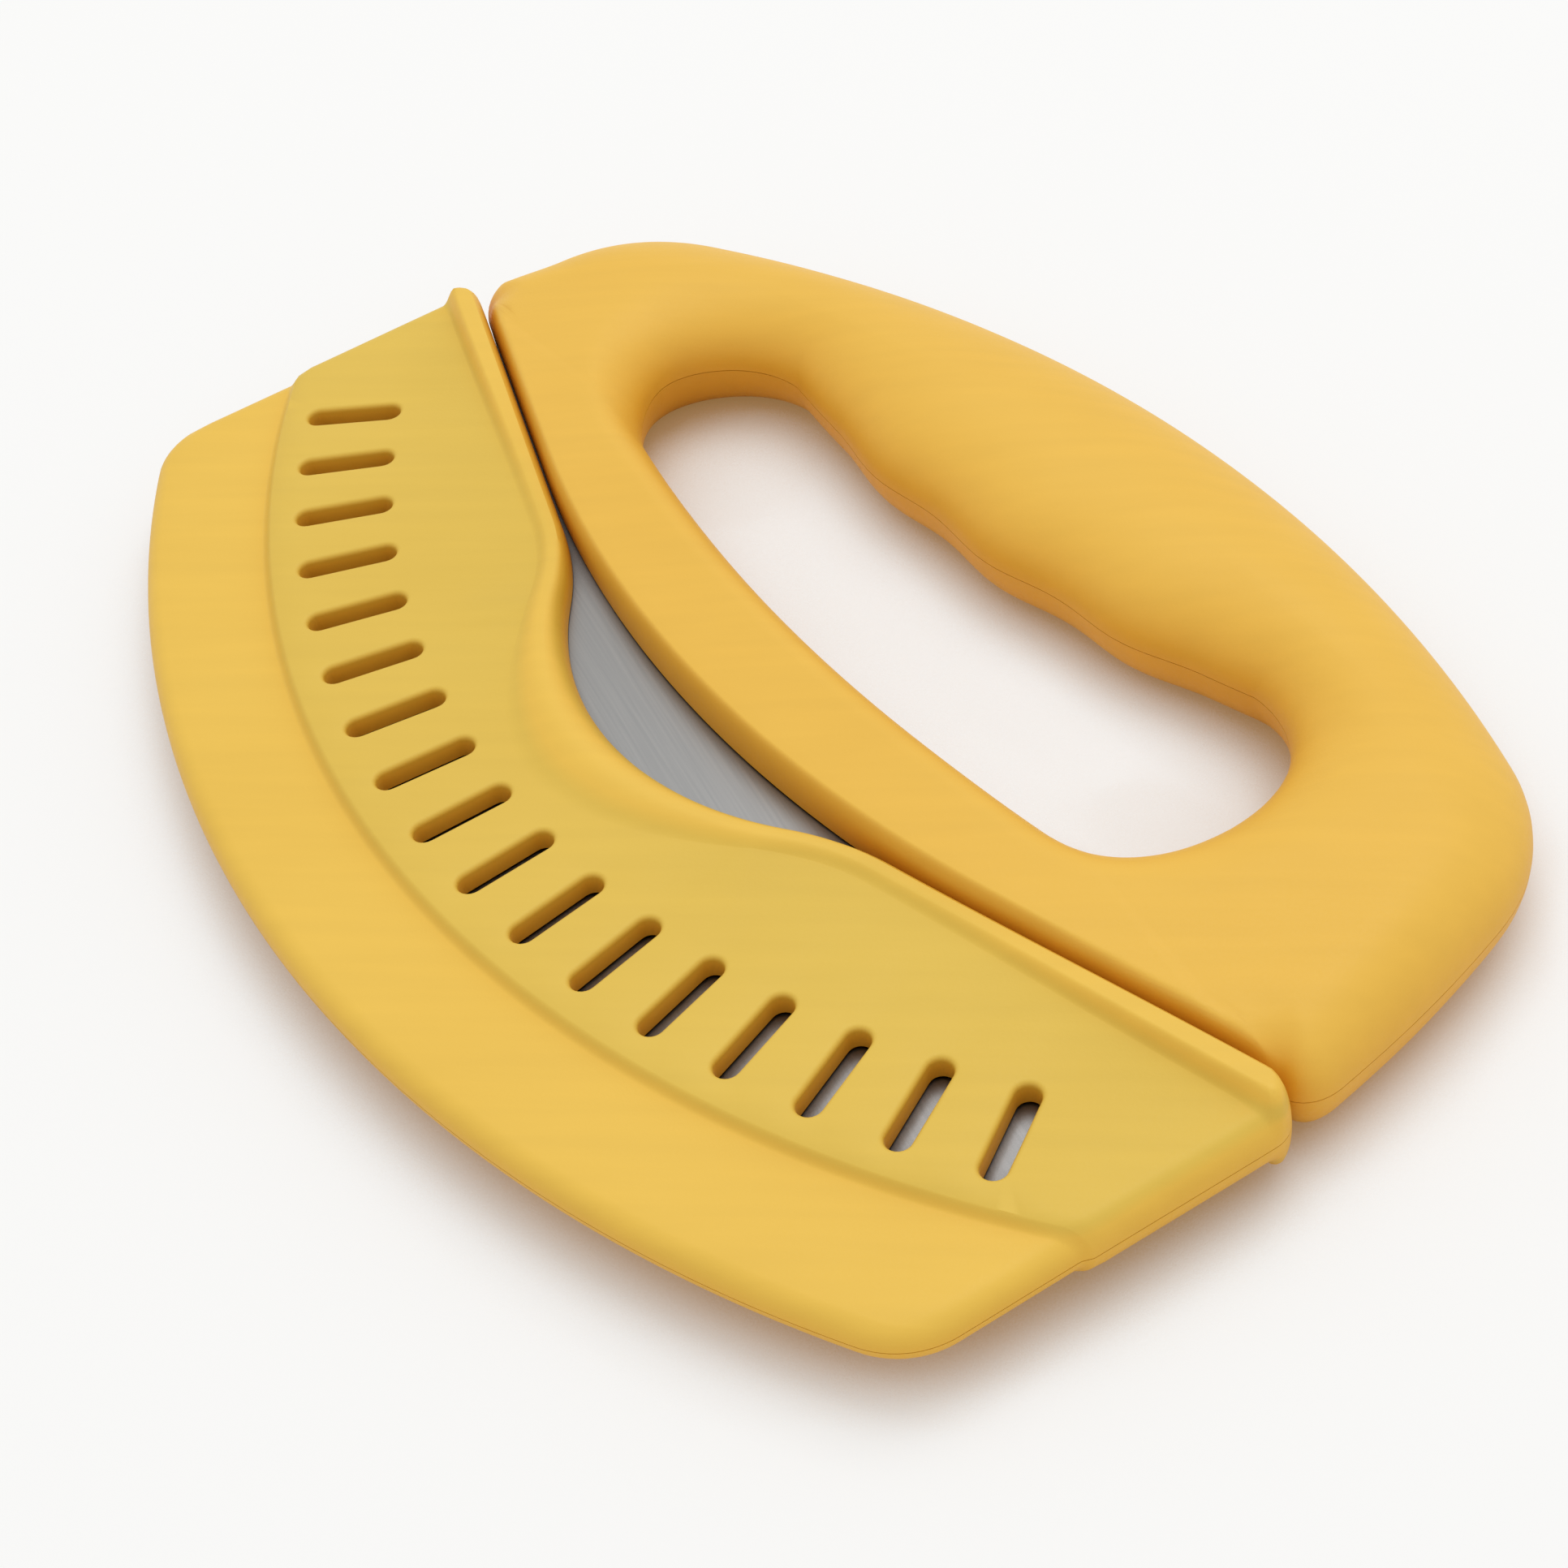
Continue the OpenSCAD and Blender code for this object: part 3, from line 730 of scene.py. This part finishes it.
def make_cover(name, side, material, slotted):
    """A sheath cover: its skin, the pocket on its inside, and the parting face round the pocket."""
    shape = Shape()
    columns = cover_columns()
    grid = cover_skin(shape, columns)
    last = len(columns) - 1
    top = len(grid[0]) - 1
    flat_from = next(i for i, x in enumerate(columns) if x >= -ear_x)
    flat_to = last - flat_from
    for i in range(last):
        for j in range(top):
            if slotted and flat_from <= i < flat_to and FLAT_LOW <= j < FLAT_HIGH:
                continue
            shape.faces.append((grid[i][j], grid[i][j + 1], grid[i + 1][j + 1], grid[i + 1][j]))
    roof_holes = slotted_panel(shape, grid, flat_from, flat_to) if slotted else []
    left = next(i for i, x in enumerate(columns) if x >= -pocket_half_w)
    right = last - left
    outline = pocket_outline()
    roof = shape.loop(outline, pocket_half_t)
    sole = shape.loop(outline, half_gap)
    mouth = [grid[i][top] for i in range(left, right + 1)]
    shape.fill(mouth + roof, roof_holes)
    lips = [shape.add(columns[i], shape.points[grid[i][top]][1], half_gap) for i in (right, left)]
    right_lip, left_lip = lips
    upper = [grid[right][top]] + roof + [grid[left][top]]
    lower = [right_lip] + sole + [left_lip]
    shape.bridge(upper, lower, closed=False)
    parting = [grid[i][top] for i in range(left)] + [left_lip] + sole[::-1] + [right_lip]
    parting += [grid[i][top] for i in range(right + 1, last + 1)]
    parting += [grid[last][j] for j in range(top - 1, -1, -1)]
    parting += [grid[i][0] for i in range(last - 1, -1, -1)]
    parting += [grid[0][j] for j in range(1, top)]
    shape.fill(parting, [])
    shape.faces.append((grid[left - 1][top], grid[left][top], left_lip))
    shape.faces.append((grid[right + 1][top], grid[right][top], right_lip))
    return mesh_object(name, shape.points, shape.faces, material, side)


# Colours as light and deep tones. The panels' tint is full within its core, a part of the step's height.
handle_tones = ((0.85, 0.53, 0.09), (0.81, 0.485, 0.074))
sheath_tones = ((0.85, 0.56, 0.098), (0.81, 0.52, 0.082))
panel_tint = (0.9, 0.96, 1.0)
panel_tint_core = 1 / 3
steel_tones = ((0.34, 0.345, 0.353), (0.30, 0.308, 0.318))

# Painted shade in hollows and tight gaps: their reach, the openness at which the painted shade begins and
# is full, and its tint
painted_shade_samples = 4
painted_hollow_shade_reach = 0.06
painted_hollow_shade_openness = (0.95, 0.5)
painted_hollow_shade_tint = (0.92, 0.74, 0.35)
painted_seam_shade_reach = 0.004
painted_seam_shade_openness = (0.55, 0.15)
painted_seam_shade_tint = (0.16, 0.1, 0.06)

# Plastic: scale and detail of its noises, the stretch and angle of its flow streaks, and what each varies
noise_range = (0.3, 0.7)
cloud_scale, cloud_detail = 28, 3
cloud_range = (0.25, 0.75)
flow_scale, flow_detail = 420, 5
flow_stretch = 0.08
flow_angle = math.radians(50)
flow_range = (0.985, 1.02)
grain_scale, grain_detail = 2600, 2
plastic_roughness = (0.42, 0.52)
plastic_bump = 0.0001
plastic_specular = 0.22
bump_strength = 0.12

# Steel: fine brushed lines and wider bands
brush_angle = math.radians(-8)
line_scale, line_detail = 2400, 6
line_stretch = 0.02
brush_band_scale, brush_band_detail = 300, 3
brush_band_stretch = 0.05
steel_roughness = (0.36, 0.40)
steel_bump = 0.00002

# Sockets of a node that mixes colours
MIX_SHARE, MIX_FIRST, MIX_SECOND, MIX_RESULT = 0, 6, 7, 2


def node_tree(name):
    material = bpy.data.materials.new(name)
    material.use_nodes = True
    tree = material.node_tree
    return material, tree, tree.nodes["Principled BSDF"]


def add_node(tree, kind, **values):
    """A node with its inputs set by name and its settings by attribute."""
    node = tree.nodes.new(kind)
    for key, value in values.items():
        if key in node.inputs:
            node.inputs[key].default_value = value
        else:
            setattr(node, key, value)
    return node


def maths(tree, operation, *values):
    """Result of a sum with numbers and other nodes' values."""
    node = add_node(tree, "ShaderNodeMath", operation=operation)
    for socket, value in zip(node.inputs, values):
        if isinstance(value, float):
            socket.default_value = value
        else:
            tree.links.new(value, socket)
    return node.outputs[0]


def map_range(tree, value, start, end=(0.0, 1.0)):
    """A value carried from one range over to another."""
    node = add_node(tree, "ShaderNodeMapRange")
    for key, limit in zip(("From Min", "From Max", "To Min", "To Max"), (*start, *end)):
        node.inputs[key].default_value = limit
    tree.links.new(value, node.inputs["Value"])
    return node.outputs[0]


def mix_colours(tree, share, first, second, blend_type="MIX"):
    """A mix of two colours, of which the first may come from another node."""
    node = add_node(tree, "ShaderNodeMix", data_type="RGBA", blend_type=blend_type)
    tree.links.new(share, node.inputs[MIX_SHARE])
    if isinstance(first, tuple):
        node.inputs[MIX_FIRST].default_value = (*first, 1)
    else:
        tree.links.new(first, node.inputs[MIX_FIRST])
    node.inputs[MIX_SECOND].default_value = (*second, 1)
    return node.outputs[MIX_RESULT]


def tinted(tree, colour, share, tint):
    """A colour multiplied by a tint, as far as a share says."""
    return mix_colours(tree, share, colour, tint, "MULTIPLY")


def noise(tree, scale, detail, stretch=1, angle=0):
    """Noise, which may be drawn out into streaks along a direction in the plan."""
    spot = add_node(tree, "ShaderNodeTexCoord")
    turned = add_node(tree, "ShaderNodeMapping", Rotation=(0, 0, -angle))
    drawn_out = add_node(tree, "ShaderNodeMapping", Scale=(stretch, 1, 1))
    texture = add_node(tree, "ShaderNodeTexNoise", Scale=scale, Detail=detail)
    tree.links.new(spot.outputs["Object"], turned.inputs["Vector"])
    tree.links.new(turned.outputs["Vector"], drawn_out.inputs["Vector"])
    tree.links.new(drawn_out.outputs["Vector"], texture.inputs["Vector"])
    return texture.outputs[0]


def painted_shade_share(tree, reach, openness):
    """Share of painted shade, which grows from 0 on open surfaces to 1 in hollows and tight gaps within a
    reach.
    """
    node = add_node(tree, "ShaderNodeAmbientOcclusion", samples=painted_shade_samples, Distance=reach)
    return map_range(tree, node.outputs["AO"], openness)


def at_panel_height(tree):
    """Share that is 1 on the sheath's raised panels and 0 on the band below the step and on the rim."""
    spot = add_node(tree, "ShaderNodeTexCoord")
    parts = add_node(tree, "ShaderNodeSeparateXYZ")
    tree.links.new(spot.outputs["Object"], parts.inputs[0])
    height = parts.outputs["Z"]
    for level in (half_t, panel_t / 2):
        height = maths(tree, "ABSOLUTE", maths(tree, "SUBTRACT", height, level * MM))
    step = (panel_t - band_t) / 2 * MM
    return map_range(tree, height, (step, step * panel_tint_core))


def add_bump(tree, shader, height, distance):
    bump = add_node(tree, "ShaderNodeBump", Strength=bump_strength, Distance=distance)
    tree.links.new(height, bump.inputs["Height"])
    tree.links.new(bump.outputs["Normal"], shader.inputs["Normal"])


def moulded_plastic(name, light, deep, raised_tint=None):
    """Satin plastic: two close tones in soft clouds, faint flow streaks, a fine spark-eroded texture, and
    painted shade that deepens the colour in hollows.
    """
    material, tree, shader = node_tree(name)
    clouds = noise(tree, cloud_scale, cloud_detail)
    streaks = noise(tree, flow_scale, flow_detail, flow_stretch, flow_angle)
    grain = noise(tree, grain_scale, grain_detail)
    tone = mix_colours(tree, map_range(tree, clouds, noise_range, cloud_range), deep, light)
    shift = add_node(tree, "ShaderNodeHueSaturation")
    tree.links.new(tone, shift.inputs["Color"])
    tree.links.new(map_range(tree, streaks, noise_range, flow_range), shift.inputs["Value"])
    # Painted shade: the colour turns a deeper orange in hollows, where shade falls.
    painted_hollow_shade = painted_shade_share(tree, painted_hollow_shade_reach, painted_hollow_shade_openness)
    colour = tinted(tree, shift.outputs["Color"], painted_hollow_shade, painted_hollow_shade_tint)
    if raised_tint:
        colour = tinted(tree, colour, at_panel_height(tree), raised_tint)
    tree.links.new(colour, shader.inputs["Base Color"])
    tree.links.new(map_range(tree, grain, noise_range, plastic_roughness), shader.inputs["Roughness"])
    add_bump(tree, shader, grain, plastic_bump)
    shader.inputs["Specular IOR Level"].default_value = plastic_specular
    return material


def brushed_steel(name, light, deep):
    """Stainless sheet with fine lines brushed along the blade, darkened by painted shade in tight gaps."""
    material, tree, shader = node_tree(name)
    lines = noise(tree, line_scale, line_detail, line_stretch, brush_angle)
    bands = noise(tree, brush_band_scale, brush_band_detail, brush_band_stretch, brush_angle)
    tone = mix_colours(tree, map_range(tree, lines, noise_range), deep, light)
    # Painted shade: the steel turns dark brown in the tight gaps by the handle and the sheath.
    colour = tinted(tree, tone, painted_shade_share(tree, painted_seam_shade_reach, painted_seam_shade_openness), painted_seam_shade_tint)
    tree.links.new(colour, shader.inputs["Base Color"])
    tree.links.new(map_range(tree, bands, noise_range, steel_roughness), shader.inputs["Roughness"])
    add_bump(tree, shader, lines, steel_bump)
    shader.inputs["Metallic"].default_value = 1.0
    return material


handle_plastic = moulded_plastic("handle_plastic", *handle_tones)
sheath_plastic = moulded_plastic("sheath_plastic", *sheath_tones, panel_tint)
steel = brushed_steel("blade_steel", *steel_tones)


def dress(piece, body, node):
    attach(piece, body)
    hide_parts(node)


dress(make_shell("handle_front", 1, handle_plastic), "cutter", "handle_front_shell")
dress(make_shell("handle_back", -1, handle_plastic), "cutter", "handle_back_shell")
dress(make_cover("sheath_front", 1, sheath_plastic, True), "sheath", "sheath_front_cover")
dress(make_cover("sheath_back", -1, sheath_plastic, False), "sheath", "sheath_back_cover")

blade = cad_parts["blade"]
for material_slot in blade.material_slots:
    material_slot.material = steel


# Floor
floor_reach = 3.0
floor_colour = (0.94, 0.96, 0.985)
floor_roughness = 0.9
floor_glow = 0.5
glow_colour = (0.95, 0.95, 0.95)
# Painted shadow near the object: its reach, the openness at which it begins and is full, and its warm tint
painted_shadow_reach = 0.024
painted_shadow_openness = (0.7, 0.2)
painted_shadow_tint = (0.5, 0.27, 0.08)

# World and key lamp
world_colour = (1.0, 0.965, 0.9)
world_strength = 0.74
key_direction = (-0.3, 0.5, 1.4)
key_distance = 2.2
key_size = 1.6
key_power = 17.0


def floor_material():
    """A pale white that the camera and clear reflections see in part without the shadow, with a painted
    warm shadow near the object.
    """
    material, tree, shader = node_tree("floor_white")
    shader.inputs["Roughness"].default_value = floor_roughness
    shader.inputs["Specular IOR Level"].default_value = 0.0
    rays = add_node(tree, "ShaderNodeLightPath")
    seen = rays.outputs["Is Camera Ray"]
    for kind in ("Is Glossy Ray", "Is Transmission Ray"):
        seen = maths(tree, "MAXIMUM", seen, rays.outputs[kind])
    glow = maths(tree, "MULTIPLY", seen, floor_glow)
    shade = mix_colours(tree, maths(tree, "SUBTRACT", 1.0, glow), (0, 0, 0), floor_colour)
    # Painted shadow: near the object the floor's colour and glow turn warm brown.
    painted_shadow = painted_shade_share(tree, painted_shadow_reach, painted_shadow_openness)
    tree.links.new(glow, shader.inputs["Emission Strength"])
    tree.links.new(tinted(tree, shade, painted_shadow, painted_shadow_tint), shader.inputs["Base Color"])
    tree.links.new(tinted(tree, glow_colour, painted_shadow, painted_shadow_tint), shader.inputs["Emission Color"])
    return material


def make_floor():
    signs = ((-1, -1), (1, -1), (1, 1), (-1, 1))
    mesh = bpy.data.meshes.new("floor")
    mesh.from_pydata([(x * floor_reach, y * floor_reach, 0) for x, y in signs], [], [(0, 1, 2, 3)])
    mesh.materials.append(floor_material())
    add_object("floor", mesh)


def make_world():
    world = bpy.data.worlds.new("studio")
    world.use_nodes = True
    background = world.node_tree.nodes["Background"]
    background.inputs["Color"].default_value = (*world_colour, 1)
    background.inputs["Strength"].default_value = world_strength
    bpy.context.scene.world = world


def make_key_lamp():
    """A square lamp that faces the object."""
    lamp = bpy.data.lights.new("key", "AREA")
    lamp.size = key_size
    lamp.energy = key_power
    way = Vector(key_direction).normalized()
    holder = add_object("key", lamp)
    holder.location = way * key_distance
    holder.rotation_euler = way.to_track_quat("Z", "Y").to_euler()


def make_camera():
    back = Vector(
        (
            math.sin(view_turn) * math.cos(view_height),
            -math.cos(view_turn) * math.cos(view_height),
            math.sin(view_height),
        )
    )
    level = Vector((math.cos(view_turn), math.sin(view_turn), 0))
    upright = back.cross(level)
    right = level * math.cos(view_roll) + upright * math.sin(view_roll)
    up = upright * math.cos(view_roll) - level * math.sin(view_roll)
    spot = back * view_distance + right * view_side + up * view_rise
    turned = Matrix((right, up, back)).transposed().to_4x4()
    camera = add_object("camera", bpy.data.cameras.new("camera"))
    camera.data.sensor_width = sensor_w
    camera.data.lens = sensor_w * lens_per_width
    camera.data.clip_start = clip_start * MM
    camera.matrix_world = Matrix.Translation(place(*spot)) @ turned
    bpy.context.scene.camera = camera


make_floor()
make_world()
make_key_lamp()
make_camera()
bpy.context.scene.view_settings.view_transform = "Standard"
